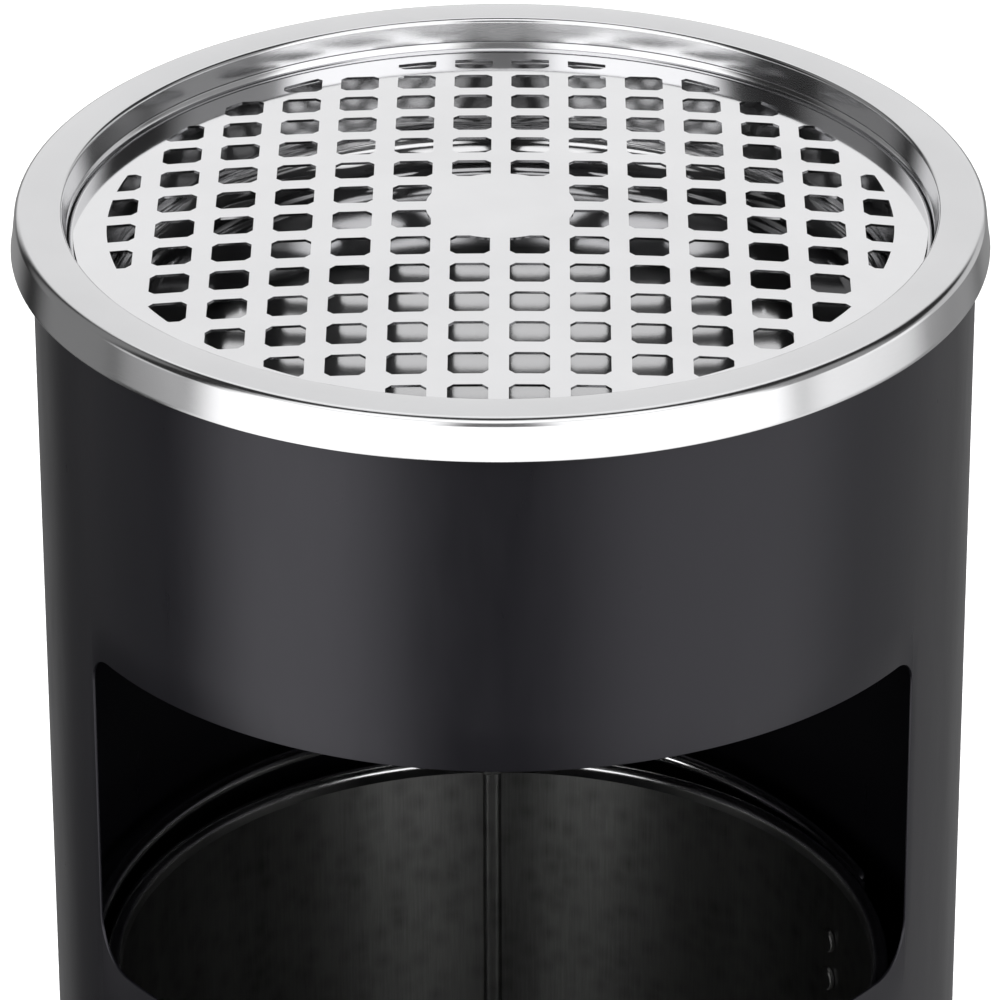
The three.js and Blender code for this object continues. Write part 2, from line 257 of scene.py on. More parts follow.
def rounded(profile, radius, steps=3):
    """The same closed profile with its corners rounded, but for those on the axis."""
    points = []
    count = len(profile)
    for i, here in enumerate(profile):
        here = Vector(here)
        before = Vector(profile[i - 1])
        after = Vector(profile[(i + 1) % count])
        to_before, to_after = before - here, after - here
        if here.x < 1e-7 or min(to_before.length, to_after.length) < 2.2 * radius:
            points.append(tuple(here))
            continue
        if to_before.normalized().dot(to_after.normalized()) < -0.98:
            points.append(tuple(here))
            continue
        start = here + to_before.normalized() * radius
        end = here + to_after.normalized() * radius
        for k in range(steps + 1):
            t = k / steps
            point = start * (1 - t) ** 2 + here * 2 * t * (1 - t) + end * t * t
            points.append(tuple(point))
    return points


def place_on_bucket(piece, extra_turn=0.0):
    """Moves a piece made about the bucket's own axis to where the bucket stands."""
    piece.data.transform(Matrix.Rotation(BUCKET_TURN + extra_turn, 4, "Z"))
    piece.location = BUCKET_CENTRE
    return piece


# ---- materials -----------------------------------------------------------------------------

class Nodes:
    """A short way to write a node tree."""

    def __init__(self, name):
        self.material = bpy.data.materials.new(name)
        self.material.use_nodes = True
        self.tree = self.material.node_tree
        self.shader = self.tree.nodes["Principled BSDF"]
        self.coords = self.add("ShaderNodeTexCoord").outputs["Object"]

    def add(self, kind, **settings):
        node = self.tree.nodes.new(kind)
        for key, value in settings.items():
            setattr(node, key, value)
        return node

    def link(self, source, target):
        self.tree.links.new(source, target)

    def math(self, operation, first, second=None):
        node = self.add("ShaderNodeMath", operation=operation)
        for socket, value in zip(node.inputs, (first, second)):
            if value is None:
                continue
            if hasattr(value, "is_output"):
                self.link(value, socket)
            else:
                socket.default_value = value
        return node.outputs[0]

    def stretched(self, scale):
        node = self.add("ShaderNodeMapping")
        node.inputs["Scale"].default_value = scale
        self.link(self.coords, node.inputs["Vector"])
        return node.outputs["Vector"]

    def noise(self, vector, scale, detail=3.0, roughness=0.55):
        node = self.add("ShaderNodeTexNoise")
        node.inputs["Scale"].default_value = scale
        node.inputs["Detail"].default_value = detail
        node.inputs["Roughness"].default_value = roughness
        self.link(vector, node.inputs["Vector"])
        return node.outputs["Fac"]

    def ramp(self, value, low, high, from_low=0.0, from_high=1.0):
        node = self.add("ShaderNodeMapRange")
        self.link(value, node.inputs["Value"])
        node.inputs["From Min"].default_value = from_low
        node.inputs["From Max"].default_value = from_high
        node.inputs["To Min"].default_value = low
        node.inputs["To Max"].default_value = high
        return node.outputs["Result"]

    def blend(self, value, low, high):
        node = self.add("ShaderNodeValToRGB")
        node.color_ramp.elements[0].color = (*low, 1)
        node.color_ramp.elements[1].color = (*high, 1)
        node.color_ramp.elements[0].position = 0.3
        node.color_ramp.elements[1].position = 0.7
        self.link(value, node.inputs["Fac"])
        return node.outputs["Color"]

    def polar(self):
        """Coordinates wrapped round the axis: (angle, radius, height)."""
        split = self.add("ShaderNodeSeparateXYZ")
        self.link(self.coords, split.inputs[0])
        x, y, z = split.outputs
        angle = self.math("ARCTAN2", y, x)
        radius = self.math("SQRT", self.math("ADD", self.math("MULTIPLY", x, x),
                                             self.math("MULTIPLY", y, y)))
        return angle, radius, z

    def join(self, x, y, z):
        node = self.add("ShaderNodeCombineXYZ")
        for socket, value in zip(node.inputs, (x, y, z)):
            if hasattr(value, "is_output"):
                self.link(value, socket)
            else:
                socket.default_value = value
        return node.outputs[0]

    def bump(self, height, strength, distance, under=None):
        node = self.add("ShaderNodeBump")
        node.inputs["Strength"].default_value = strength
        node.inputs["Distance"].default_value = distance
        self.link(height, node.inputs["Height"])
        if under is not None:
            self.link(under, node.inputs["Normal"])
        return node.outputs["Normal"]

    def finish(self, colour=None, roughness=None, normal=None, metallic=0.0, **constants):
        self.shader.inputs["Metallic"].default_value = metallic
        if colour is not None:
            self.link(colour, self.shader.inputs["Base Color"])
        if roughness is not None:
            self.link(roughness, self.shader.inputs["Roughness"])
        if normal is not None:
            self.link(normal, self.shader.inputs["Normal"])
        for key, value in constants.items():
            self.shader.inputs[key.replace("_", " ")].default_value = value
        return self.material


def black_paint():
    n = Nodes("black_paint")
    cloud = n.noise(n.coords, 9.0, 4.0)
    colour = n.blend(cloud, (0.0045, 0.0044, 0.0058), (0.0060, 0.0058, 0.0076))
    peel = n.noise(n.coords, 700.0, 2.0)
    fine = n.noise(n.coords, 4200.0, 1.0)
    wear = n.noise(n.stretched((6, 6, 1.2)), 14.0, 5.0, 0.65)
    roughness = n.ramp(wear, 0.27, 0.33, 0.3, 0.7)
    normal = n.bump(fine, 0.12, 0.00003, n.bump(peel, 0.10, 0.00010))
    return n.finish(colour, roughness, normal, Specular_Tint=(0.93, 0.91, 1.0, 1.0))


def polished_steel(name, tone, roughness_low, roughness_high, bump_strength, straight):
    """Steel sheet: spun pieces carry fine rings, flat ones a fine straight grain."""
    n = Nodes(name)
    angle, radius, height = n.polar()
    if straight:
        grain = n.noise(n.stretched((1.5, 160, 160)), 22.0, 4.0, 0.6)
    else:
        around = n.math("MULTIPLY", angle, 0.02)
        across = n.math("ADD", radius, height)
        grain = n.noise(n.join(around, across, 0.0), 2600.0, 3.0, 0.6)
    smear = n.noise(n.coords, 24.0, 4.0, 0.6)
    dark, light = tone * 0.97, tone * 1.03
    colour = n.blend(smear, (dark, dark, dark * 1.015), (light, light, light * 1.015))
    wear = n.math("ADD", n.math("MULTIPLY", grain, 0.6), n.math("MULTIPLY", smear, 0.4))
    roughness = n.ramp(wear, roughness_low, roughness_high, 0.3, 0.7)
    normal = n.bump(grain, bump_strength, 0.00004)
    return n.finish(colour, roughness, normal, metallic=1.0)


def galvanised_sheet():
    n = Nodes("galvanised_sheet")
    angle, radius, height = n.polar()
    grain = n.noise(n.join(n.math("MULTIPLY", angle, 1.0), n.math("MULTIPLY", height, 0.35), 0.0),
                    150.0, 6.0, 0.7)
    cells = n.add("ShaderNodeTexVoronoi")
    cells.inputs["Scale"].default_value = 160.0
    n.link(n.coords, cells.inputs["Vector"])
    spangle = n.ramp(cells.outputs["Distance"], 0.0, 1.0, 0.0, 0.6)
    stain = n.noise(n.stretched((1, 1, 0.25)), 16.0, 5.0, 0.7)
    bands = n.noise(n.join(angle, n.math("MULTIPLY", height, 0.6), 0.0), 5.0, 2.0)
    worn = n.math("ADD", n.math("MULTIPLY", stain, 0.4), n.math("MULTIPLY", bands, 0.6))
    mixed = n.math("ADD", n.math("MULTIPLY", grain, 0.3),
                   n.math("ADD", n.math("MULTIPLY", spangle, 0.1), n.math("MULTIPLY", worn, 0.6)))
    colour = n.blend(mixed, (0.12, 0.12, 0.118), (0.44, 0.44, 0.43))
    roughness = n.ramp(mixed, 0.38, 0.50, 0.3, 0.7)
    normal = n.bump(grain, 0.10, 0.00006)
    n.link(n.add("ShaderNodeTangent", direction_type="RADIAL", axis="Z").outputs[0],
           n.shader.inputs["Tangent"])
    return n.finish(colour, roughness, normal, metallic=1.0, Anisotropic=0.9,
                    Anisotropic_Rotation=0.25)


def zinc(name, tone, roughness_low, roughness_high):
    """Zinc that was drawn or rolled bright: the wires, the lugs and the rolled rim."""
    n = Nodes(name)
    cloud = n.noise(n.coords, 60.0, 4.0, 0.6)
    dark, light = tone * 0.94, tone * 1.06
    colour = n.blend(cloud, (dark, dark, dark * 1.01), (light, light, light * 1.01))
    roughness = n.ramp(cloud, roughness_low, roughness_high, 0.3, 0.7)
    normal = n.bump(n.noise(n.coords, 1500.0, 2.0), 0.05, 0.00001)
    return n.finish(colour, roughness, normal, metallic=1.0)


def black_plastic():
    n = Nodes("black_plastic")
    cloud = n.noise(n.coords, 30.0, 4.0, 0.6)
    colour = n.blend(cloud, (0.010, 0.010, 0.011), (0.018, 0.018, 0.019))
    roughness = n.ramp(cloud, 0.50, 0.65, 0.3, 0.7)
    normal = n.bump(n.noise(n.coords, 2200.0, 2.0), 0.25, 0.00008)
    return n.finish(colour, roughness, normal)


def floor_paint():
    n = Nodes("floor_paint")
    cloud = n.noise(n.coords, 3.0, 4.0)
    colour = n.blend(cloud, (0.90, 0.90, 0.90), (0.92, 0.92, 0.92))
    roughness = n.ramp(cloud, 0.85, 0.95)
    return n.finish(colour, roughness)


PAINT = black_paint()
TRAY_STEEL = polished_steel("spun_steel", 0.68, 0.10, 0.17, 0.08, False)
BOWL_STEEL = polished_steel("bowl_steel", 0.56, 0.05, 0.09, 0.04, False)
GRID_STEEL = polished_steel("polished_sheet", 0.79, 0.04, 0.08, 0.03, True)
# The grid's underside: rougher unpolished steel whose tone is lowered to 0.15 as painted shade, so
# that the bowl under it reflects it dark.
GRID_BACK_PAINTED_SHADE = polished_steel("unpolished_sheet_painted_shade", 0.15, 0.25, 0.40, 0.20, True)
ZINC_SHEET = galvanised_sheet()
ZINC_WIRE = zinc("zinc_wire", 0.85, 0.09, 0.15)
ROLLED_ZINC = zinc("rolled_zinc", 0.72, 0.16, 0.26)
PLASTIC = black_plastic()


def dress(piece, material, body, slot, *nodes):
    """Gives a finished piece its material, its body and the CAD nodes it stands for. The slot is
    not used.
    """
    piece.data.materials.clear()
    piece.data.materials.append(material)
    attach(piece, body)
    if nodes:
        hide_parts(*nodes)
    return piece


def face_with(piece, material, belongs):
    """Gives the faces that belong a second material."""
    piece.data.materials.append(material)
    for face in piece.data.polygons:
        face.material_index = 1 if belongs(face) else 0
    return piece


# ---- shell and base ------------------------------------------------------------------------

def window_low(arc_length):
    """Height of the window's lower edge at a distance from its middle, along the sheet."""
    beyond = abs(arc_length) - (SHELL_RADIUS * WINDOW_HALF_ANGLE - WINDOW_BOTTOM_CORNER)
    if beyond <= 0:
        return WINDOW_BOTTOM
    radius = WINDOW_BOTTOM_CORNER
    return WINDOW_BOTTOM + radius - math.sqrt(max(radius ** 2 - beyond ** 2, 0.0))


def window_high(arc_length):
    beyond = abs(arc_length) - (SHELL_RADIUS * WINDOW_HALF_ANGLE - WINDOW_TOP_CORNER)
    if beyond <= 0:
        return WINDOW_TOP
    radius = WINDOW_TOP_CORNER
    return WINDOW_TOP - radius + math.sqrt(max(radius ** 2 - beyond ** 2, 0.0))


def shell_columns():
    """Angles of the sheet's vertical lines, measured from the front, close together at corners."""
    half = WINDOW_HALF_ANGLE
    step = 2 * math.pi / SMOOTH_SIDES
    corner = WINDOW_BOTTOM_CORNER / SHELL_RADIUS
    corner_steps = 24
    in_corner = [half - corner + corner * math.sin(math.pi / 2 * i / corner_steps)
                 for i in range(corner_steps + 1)]
    middle_steps = round(2 * (half - corner) / step)
    middle = [-(half - corner) + 2 * (half - corner) * i / middle_steps
              for i in range(1, middle_steps)]
    around = 2 * math.pi - 2 * half
    outside_steps = round(around / step)
    outside = [half + around * i / outside_steps for i in range(1, outside_steps)]
    return [-a for a in reversed(in_corner)] + middle + in_corner + outside


def shell_heights(angle, low_rows, middle_rows, high_rows):
    """Heights of the points on one vertical line: below, across and above the window."""
    low = WINDOW_BOTTOM + WINDOW_BOTTOM_CORNER
    high = WINDOW_TOP - WINDOW_TOP_CORNER
    if in_window(angle):
        low = window_low(angle * SHELL_RADIUS)
        high = window_high(angle * SHELL_RADIUS)
    heights = [SHELL_BOTTOM + (low - SHELL_BOTTOM) * i / low_rows for i in range(low_rows)]
    heights += [low + (high - low) * i / middle_rows for i in range(middle_rows)]
    heights += [high + (SHELL_TOP - high) * i / high_rows for i in range(high_rows + 1)]
    return heights


def in_window(angle):
    return angle <= WINDOW_HALF_ANGLE + 1e-9


def drop_loose_points(mesh):
    clean = bmesh.new()
    clean.from_mesh(mesh)
    loose = [v for v in clean.verts if not v.link_faces]
    bmesh.ops.delete(clean, geom=loose, context="VERTS")
    clean.to_mesh(mesh)
    clean.free()


def make_shell():
    columns = shell_columns()
    low_rows, middle_rows, high_rows = 24, 8, 8
    rows = low_rows + middle_rows + high_rows + 1
    verts, faces = [], []
    for angle in columns:
        x, y = SHELL_RADIUS * math.sin(angle), -SHELL_RADIUS * math.cos(angle)
        verts += [(x, y, z) for z in shell_heights(angle, low_rows, middle_rows, high_rows)]
    for i, angle in enumerate(columns):
        j = (i + 1) % len(columns)
        open_between = in_window(angle) and in_window(columns[j])
        for row in range(rows - 1):
            if open_between and low_rows <= row < low_rows + middle_rows:
                continue
            faces.append((i * rows + row, j * rows + row, j * rows + row + 1, i * rows + row + 1))
    mesh = mesh_from("shell", verts, faces)
    drop_loose_points(mesh)
    piece = add_object("shell", mesh)
    add_sheet(piece, SHELL_SHEET)
    add_bevel(piece, SHELL_EDGE, 3, 50)
    settle(piece, 25)
    return dress(piece, PAINT, "bin", "shell_paint", "outer_shell")


def make_seam():
    """The lap behind, where the rolled sheet overlaps itself: a low strip down the back."""
    half_width = 5 * MM
    rise = 0.5 * MM
    sides = 12
    verts, faces = [], []
    for height in (SHELL_BOTTOM + 10 * MM, SHELL_TOP - 10.5 * MM):
        for i in range(sides + 1):
            across = -1 + 2 * i / sides
            angle = math.pi + across * half_width / SHELL_RADIUS
            out = SHELL_RADIUS + rise * (1 - abs(across) ** 6)
            verts.append((out * math.sin(angle), -out * math.cos(angle), height))
    for i in range(sides):
        faces.append((i, i + 1, sides + 2 + i, sides + 1 + i))
    mesh = mesh_from("shell_seam", verts, faces)
    piece = add_object("shell_seam", mesh)
    add_sheet(piece, 0.6 * MM)
    settle(piece, 40)
    return dress(piece, PAINT, "bin", "shell_paint")


def make_base_ring():
    groove_out = SHELL_RADIUS + GAP
    groove_in = SHELL_RADIUS - SHELL_SHEET - GAP
    top, outer = RING_HIGH.z, RING_HIGH.x
    profile = [
        (RING_INNER, 0), (outer, 0), (outer, top - RING_CHAMFER), (groove_out + 0.5 * MM, top),
        (groove_out, top), (groove_out, RING_GROOVE_FLOOR), (groove_in, RING_GROOVE_FLOOR),
        (groove_in, top), (RING_INNER, top),
    ]
    piece = spin("edge_protector", rounded(profile, 0.25 * MM))
    return dress(piece, PLASTIC, "bin", "black_plastic", "base_ring")


def pressed_disc(top, low, rim, corner, sheet, pressing, foot=0.0):
    """Section of a sheet floor: flat, one pressed ring, a round corner and a flange turned down.

    The pressing is (radius, half width of its floor, half width at its top, depth)."""
    radius, narrow, wide, depth = pressing
    dip = [(radius - wide, 0), (radius - narrow, depth),
           (radius + narrow, depth), (radius + wide, 0)]
    over = [(0, top)] + [(r, top - d) for r, d in dip]
    over += arc(rim - corner, top - corner, corner, 90, 0, 6)
    over += [(rim, low + foot)]
    under = [(rim - sheet, low + foot)]
    under += arc(rim - corner, top - corner, corner - sheet, 0, 90, 6)
    under += [(r, top - d - sheet) for r, d in reversed(dip)] + [(0, top - sheet)]
    return (over + under)[::-1]


def make_base_plate():
    pressing = (70 * MM, 2 * MM, 4 * MM, 1.5 * MM)
    section = pressed_disc(PLATE_HIGH.z, PLATE_LOW.z, PLATE_HIGH.x, PLATE_CORNER, PLATE_SHEET,
                           pressing)
    return dress(spin("floor_pan", section), PAINT, "bin", "shell_paint", "base_plate")


# ---- tray and grid -------------------------------------------------------------------------

def tray_inside():
    """Upper surface of the spun sheet, from the axis out to the hem."""
    rim = TOTAL_HEIGHT
    points = [(0, BOWL_FLOOR)]
    points += arc(LEDGE_INNER - BOWL_CORNER, BOWL_FLOOR + BOWL_CORNER, BOWL_CORNER, -90, 0, 14)
    lip = 1.5 * MM
    points += arc(LEDGE_INNER + lip, LEDGE_HEIGHT - lip, lip, 180, 90, 6)
    foot = 1.0 * MM
    points += arc(LEDGE_OUTER - foot, LEDGE_HEIGHT + foot, foot, -90, -10, 5)
    bead = 0.5 * MM
    points += arc(LEDGE_OUTER + 0.1 * MM, LEDGE_HEIGHT + 2.5 * MM, bead, -60, 60, 4)
    edge = 1.3 * MM
    points += arc(TRAY_BORE + edge, rim - edge - 0.15 * MM, edge, 176, 98, 8)
    crown = TRAY_BORE + 5.2 * MM
    points += [(crown - 1.8 * MM, rim - 0.04 * MM), (crown, rim), (crown + 2 * MM, rim - 0.08 * MM)]
    points += arc(SHOULDER_RADIUS, rim - SHOULDER_ROUND - 0.25 * MM, SHOULDER_ROUND, 84, 12, 12)
    points += [(HEM_RADIUS - 0.25 * MM, HEM_HEIGHT + 1.2 * MM)]
    return points


def tray_profile():
    """The whole closed section: inside, curled hem, and the underside one sheet below."""
    inside = tray_inside()
    hem = arc(HEM_RADIUS - 0.45 * MM, HEM_HEIGHT + HEM_ROUND, HEM_ROUND, 10, -150, 8)
    under = []
    count = len(inside)
    for i in range(count - 1, -1, -1):
        before = Vector(inside[max(i - 1, 0)])
        after = Vector(inside[min(i + 1, count - 1)])
        along = (after - before).normalized()
        normal = Vector((along.y, -along.x))
        point = Vector(inside[i]) + normal * TRAY_SHEET
        under.append((max(point.x, 0.0) if i else 0.0, point.y))
    return inside + hem + under


def make_tray():
    piece = spin("tray", tray_profile(), degrees=40)
    piece.location = TRAY_CENTRE
    dress(piece, TRAY_STEEL, "tray", "polished_steel", "ash_tray")
    return face_with(piece, BOWL_STEEL, lambda face: face.center.xy.length < LEDGE_INNER)


def hole_outline(x, y):
    """Corner points of one square hole with chamfered corners."""
    half = HOLE_SIZE / 2
    flat = half - HOLE_CHAMFER
    octagon = [(half, -flat), (half, flat), (flat, half), (-flat, half),
               (-half, flat), (-half, -flat), (-flat, -half), (flat, -half)]
    return [(x + dx, y + dy) for dx, dy in octagon]


def clip_outline(outline):
    """Trims a hole to the ring of sheet that is punched."""
    dense = []
    count = len(outline)
    for i in range(count):
        a, b = Vector(outline[i]), Vector(outline[(i + 1) % count])
        for k in range(8):
            dense.append(a.lerp(b, k / 8))
    kept = []
    for point in dense:
        radius = point.length
        limit = min(max(radius, HOLES_INNER), HOLES_OUTER)
        kept.append(point * (limit / radius))
    clean = []
    for i, point in enumerate(kept):
        before = kept[i - 1]
        after = kept[(i + 1) % len(kept)]
        if (point - before).length < 0.05 * MM:
            continue
        turn = (point - before).cross(after - point)
        if abs(turn) < 1e-12 and (point - before).dot(after - point) > 0:
            continue
        clean.append(point)
    return clean


def hole_outlines():
    outlines = []
    furthest = HOLES_OUTER + HOLE_CHAMFER
    for row in range(-HOLE_ROWS, HOLE_ROWS):
        for column in range(-HOLE_ROWS, HOLE_ROWS):
            x, y = (column + 0.5) * HOLE_PITCH, (row + 0.5) * HOLE_PITCH
            if HOLES_INNER < math.hypot(x, y) < furthest:
                outlines.append(clip_outline(hole_outline(x, y)))
    return outlines


def inside_outline(point, outline):
    hit = False
    for i, a in enumerate(outline):
        b = outline[i - 1]
        if (a.y > point.y) != (b.y > point.y):
            cross = a.x + (point.y - a.y) * (b.x - a.x) / (b.y - a.y)
            if point.x < cross:
                hit = not hit
    return hit


def circle(radius, count, shift=0.0):
    """Points round a circle in plan, the first one shifted by that part of a step."""
    angles = [2 * math.pi * (i + shift) / count for i in range(count)]
    return [Vector((radius * math.cos(a), radius * math.sin(a))) for a in angles]


def web_points(outlines):
    """Points where the webs between the holes cross, and on two rings outside the holes."""
    points = []
    for row in range(-HOLE_ROWS, HOLE_ROWS + 1):
        for column in range(-HOLE_ROWS, HOLE_ROWS + 1):
            crossing = Vector((column * HOLE_PITCH, row * HOLE_PITCH))
            near = crossing.length < HOLES_OUTER + 1 * MM
            if near and not any(inside_outline(crossing, o) for o in outlines):
                points.append(crossing)
    for radius in (102.5 * MM, 105.5 * MM):
        points += circle(radius, 120, 0.5)
    return points


def grid_sheet():
    """The punched disc in plan: Delaunay triangles between the rim and the holes."""
    outlines = hole_outlines()
    points, edges = [], []
    for loop in [circle(GRID_RADIUS, 240)] + outlines:
        start, size = len(points), len(loop)
        points += loop
        edges += [(start + i, start + (i + 1) % size) for i in range(size)]
    points += web_points(outlines)
    made = delaunay_2d_cdt(points, edges, [], 0, 1e-7)
    flat, triangles = made[0], made[2]
    boxes = [(min(p.x for p in o), max(p.x for p in o), min(p.y for p in o), max(p.y for p in o), o)
             for o in outlines]
    kept = []
    for triangle in triangles:
        middle = sum((flat[i] for i in triangle), Vector((0, 0))) / 3
        if middle.length > GRID_RADIUS:
            continue
        near = [b for b in boxes if b[0] < middle.x < b[1] and b[2] < middle.y < b[3]]
        if not any(inside_outline(middle, b[4]) for b in near):
            kept.append(tuple(triangle))
    return flat, kept


def make_grid():
    flat, triangles = grid_sheet()
    verts = [(p.x, p.y, GRID_CROWN - GRID_CURVE * p.length_squared) for p in flat]
    mesh = mesh_from("grid", verts, triangles)
    piece = add_object("grid", mesh)
    work = bmesh.new()
    work.from_mesh(mesh)
    bmesh.ops.recalc_face_normals(work, faces=work.faces)
    if sum(f.normal.z for f in work.faces) < 0:
        bmesh.ops.reverse_faces(work, faces=work.faces)
    work.to_mesh(mesh)
    work.free()
    add_sheet(piece, GRID_SHEET)
    add_bevel(piece, GRID_EDGE, 2, 60)
    settle(piece, 15)
    piece.data.transform(Matrix.Rotation(GRID_TURN, 4, "Z"))
    piece.location = TRAY_CENTRE
    dress(piece, GRID_STEEL, "grid", "polished_steel", "ash_grid")
    # Faces turned downwards take the underside steel, whose darker tone is painted shade.
    return face_with(piece, GRID_BACK_PAINTED_SHADE, lambda face: face.normal.z < -0.5)


# ---- bucket --------------------------------------------------------------------------------

def make_bucket_wall():
    bead_height = BUCKET_RIM_TOP - BEAD_RADIUS
    inside_roll = BEAD_RADIUS - BUCKET_SHEET
    profile = [(BUCKET_INNER, BUCKET_BOTTOM), (BUCKET_OUTER, BUCKET_BOTTOM)]
    profile += [(BUCKET_OUTER, bead_height - 1 * MM)]
    profile += arc(BEAD_CENTRE, bead_height, inside_roll, 180, -150, 22)
    profile += arc(BEAD_CENTRE, bead_height, BEAD_RADIUS, -150, 180, 24)
    profile += [(BUCKET_INNER, bead_height - 2 * MM)]
    piece = spin("bucket_sheet", profile)
    place_on_bucket(piece)
    dress(piece, ZINC_SHEET, "bucket", "galvanised_steel", "bucket_wall")
    return face_with(piece, ROLLED_ZINC, lambda face: face.center.z > bead_height - 2.5 * MM)


def make_bucket_seam():
    """The folded lock seam that joins the bucket's sheet, standing a little proud inside."""
    half_width = 2.6 * MM
    rise = 0.9 * MM
    sides = 10
    verts, faces = [], []
    for height in (BUCKET_BOTTOM + 10 * MM, BUCKET_RIM_TOP - 2 * BEAD_RADIUS):
        for i in range(sides + 1):
            across = -1 + 2 * i / sides
            angle = across * half_width / BUCKET_INNER
            out = BUCKET_INNER - rise * (1 - abs(across) ** 4)
            verts.append((out * math.cos(angle), out * math.sin(angle), height))
    for i in range(sides):
        faces.append((sides + 1 + i, sides + 2 + i, i + 1, i))
    piece = add_object("bucket_seam", mesh_from("bucket_seam", verts, faces))
    add_sheet(piece, BUCKET_SHEET)
    settle(piece, 40)
    place_on_bucket(piece, SEAM_ANGLE - BUCKET_TURN)
    return dress(piece, ZINC_SHEET, "bucket", "galvanised_steel")


def make_bucket_floor():
    pressing = (80 * MM, 1 * MM, 3 * MM, 1.2 * MM)
    section = pressed_disc(BUCKET_BOTTOM + FLOOR_RAISE, BUCKET_BOTTOM, BUCKET_INNER - GAP,
                           BUCKET_FLOOR_CORNER, BUCKET_SHEET, pressing, foot=GAP)
    piece = place_on_bucket(spin("bucket_bottom", section))
    return dress(piece, ZINC_SHEET, "bucket", "galvanised_steel", "bucket_floor")


def make_ear(side, turn):
    """A pressed lug: pad on the wall, a step past the rolled rim, and the bail's eye."""
    pad_in = BUCKET_OUTER + GAP
    eye_in = EAR_OUTSIDE - EAR_SHEET
    outline = [(pad_in, EAR_BOTTOM), (pad_in + EAR_SHEET, EAR_BOTTOM),
               (pad_in + EAR_SHEET, EAR_JOG_START), (EAR_OUTSIDE, EAR_JOG_END),
               (EAR_OUTSIDE, EAR_TOP), (eye_in, EAR_TOP), (eye_in, EAR_JOG_END),
               (pad_in, EAR_JOG_START)]
    half = EAR_WIDTH / 2
    count = len(outline)
    verts = [(x, y, z) for y in (-half, half) for x, z in outline]
    faces = [tuple(range(count))[::-1], tuple(range(count, 2 * count))]
    faces += [(i, (i + 1) % count, count + (i + 1) % count, count + i) for i in range(count)]
    name = f"ear_{side}"
    piece = add_object(name, mesh_from(name, verts, faces))
    cutters = [eye_cutter(BAIL_PIVOT, EAR_HOLE)]
    cutters += [eye_cutter(height, RIVET_SHANK + GAP) for height in RIVET_HEIGHTS]
    fix_normals(piece.data)
    for cutter in cutters:
        cut = piece.modifiers.new("hole", "BOOLEAN")
        cut.operation = "DIFFERENCE"
        cut.object = cutter
    add_bevel(piece, 0.25 * MM, 2, 40)
    settle(piece, 30)
    for cutter in cutters:
        bpy.data.objects.remove(cutter)
    place_on_bucket(piece, turn)
    return dress(piece, ZINC_WIRE, "bucket", "zinc_wire", f"bail_ear_{side}")


def eye_cutter(height, radius):
    sides = 32
    verts = []
    for x in (BUCKET_OUTER - 2 * MM, EAR_OUTSIDE + 2 * MM):
        for i in range(sides):
            angle = 2 * math.pi * i / sides
            verts.append((x, radius * math.cos(angle), height + radius * math.sin(angle)))
    faces = [tuple(range(sides))[::-1], tuple(range(sides, 2 * sides))]
    faces += [(i, (i + 1) % sides, sides + (i + 1) % sides, sides + i) for i in range(sides)]
    return add_object("cutter", mesh_from("cutter", verts, faces))


def make_rivet(side, turn, height, number):
    head_in = BUCKET_INNER - GAP - RIVET_DOME
    head_out = BUCKET_OUTER + EAR_SHEET + 2 * GAP
    profile = [(0, head_in)]
    profile += [(RIVET_HEAD - 0.3 * MM, head_in), (RIVET_HEAD, head_in + 0.3 * MM)]
    profile += [(RIVET_HEAD, head_in + RIVET_DOME), (RIVET_SHANK, head_in + RIVET_DOME)]
    profile += [(RIVET_SHANK, head_out), (RIVET_HEAD, head_out)]
    for i in range(1, 8):
        angle = math.pi / 2 * i / 8
        profile.append((RIVET_HEAD * math.cos(angle), head_out + RIVET_DOME * math.sin(angle)))
    profile.append((0, head_out + RIVET_DOME))
    name = f"rivet_{side}_{number}"
    piece = spin(name, profile, sides=32, closed=False)
    piece.data.transform(Matrix.Translation((0, 0, height)) @ Matrix.Rotation(math.pi / 2, 4, "Y"))
    place_on_bucket(piece, turn)
    return dress(piece, ZINC_SHEET, "bucket", "zinc_wire", f"bail_rivet_{side}_{number}")


def bail_line():
    """The wire's centre line: a hook through each ear and a half hoop between them."""
    bend = 2 * MM
    start = math.asin(bend / BAIL_REACH)
    hook = [(BAIL_HOOK_END, 0), (BAIL_HALF_SPAN - bend, 0)]
    hook += arc(BAIL_HALF_SPAN - bend, bend, bend, -75, -15, 4)
    hoop_steps = 72
    angles = [start + (math.pi - 2 * start) * i / hoop_steps for i in range(hoop_steps + 1)]
    hoop = [(BAIL_HALF_SPAN * math.cos(a), BAIL_REACH * math.sin(a)) for a in angles]
    far_hook = [(-x, y) for x, y in hook[:6][::-1]]
    return hook + hoop + far_hook


def wire_mesh(name, line, radius, sides=16):
    """A round wire along a flat line, with closed ends."""
    verts, faces = [], []
    for k, (x, y) in enumerate(line):
        along = Vector(line[min(k + 1, len(line) - 1)]) - Vector(line[max(k - 1, 0)])
        side = Vector((along.y, -along.x)).normalized()
        for i in range(sides):
            angle = 2 * math.pi * i / sides
            offset = side * (radius * math.cos(angle))
            verts.append((x + offset.x, y + offset.y, radius * math.sin(angle)))
    rings = len(line)
    for k in range(rings - 1):
        for i in range(sides):
            j = (i + 1) % sides
            faces.append((k * sides + i, k * sides + j, (k + 1) * sides + j, (k + 1) * sides + i))
    faces.append(tuple(range(sides)))
    faces.append(tuple(range((rings - 1) * sides, rings * sides))[::-1])
    mesh = mesh_from(name, verts, faces)
    fix_normals(mesh)
    smooth(mesh, 40)
    return mesh


